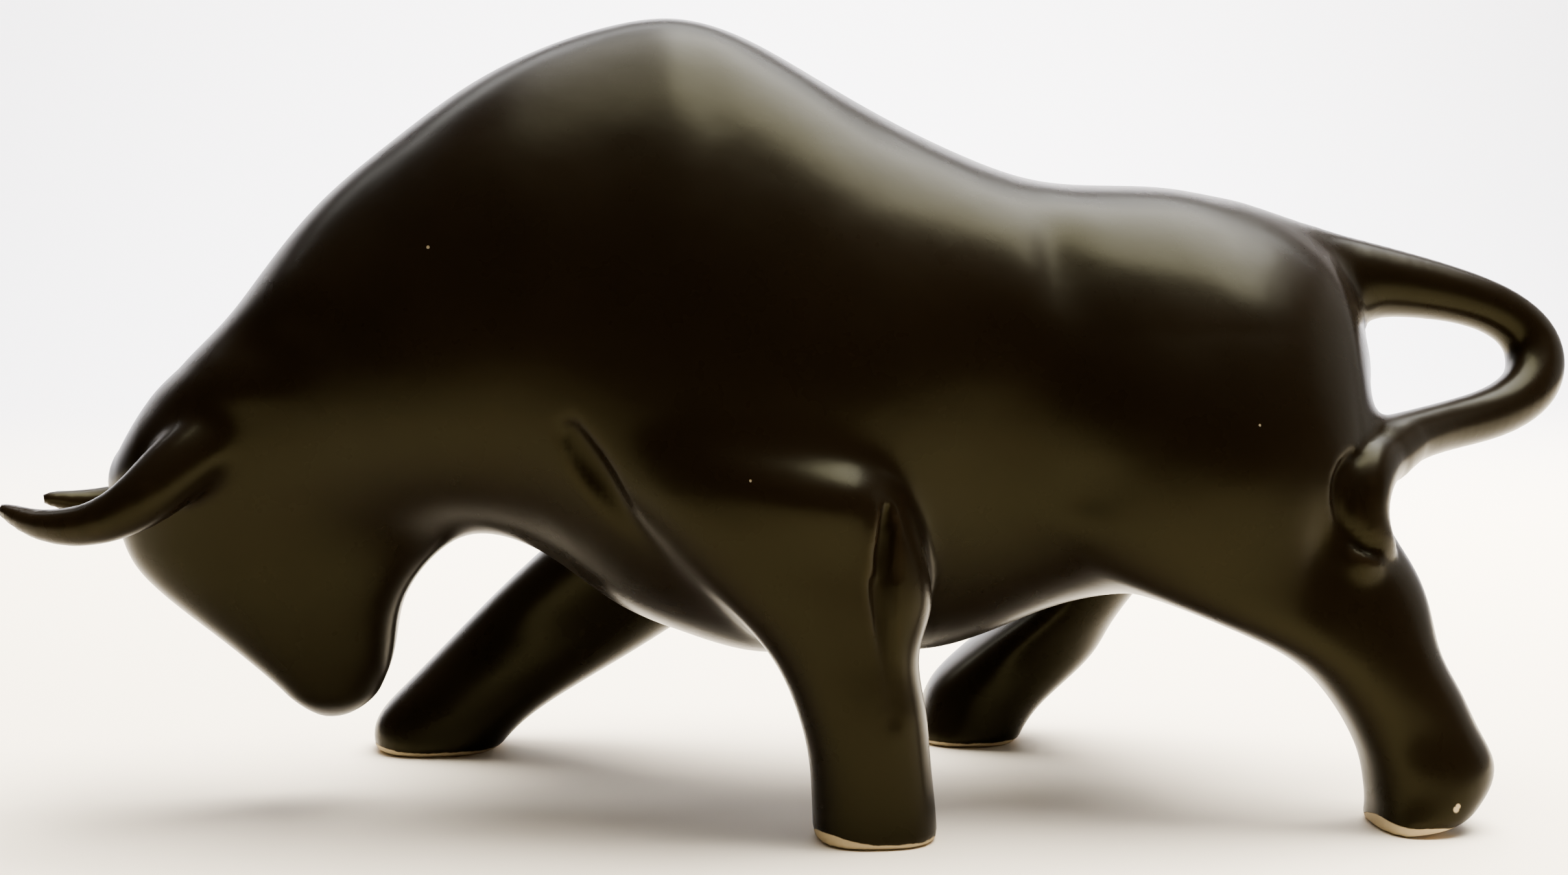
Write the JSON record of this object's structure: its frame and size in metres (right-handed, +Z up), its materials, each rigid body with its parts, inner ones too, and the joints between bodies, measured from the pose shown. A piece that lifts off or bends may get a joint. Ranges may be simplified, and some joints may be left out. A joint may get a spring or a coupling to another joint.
{
  "type": "bull figurine",
  "caption": "Charging bull figure in satin black glazed ceramic, head down, one foreleg stretched ahead, tail looped back on the thigh.",
  "frame": {"origin": "on the ground under the middle of the figure's length and width", "axes": "+Z up, +X from the horns to the tail, -Y the side with the upright foreleg and the tail's tuft"},
  "size_m": [0.3236, 0.1072, 0.1611],
  "materials": {
    "satin_glaze": "satin brown-black ceramic glaze, bare cream clay at the rims of the soles"
  },
  "bodies": {
    "root": {"bull": "satin_glaze"}
  },
  "joints": []
}
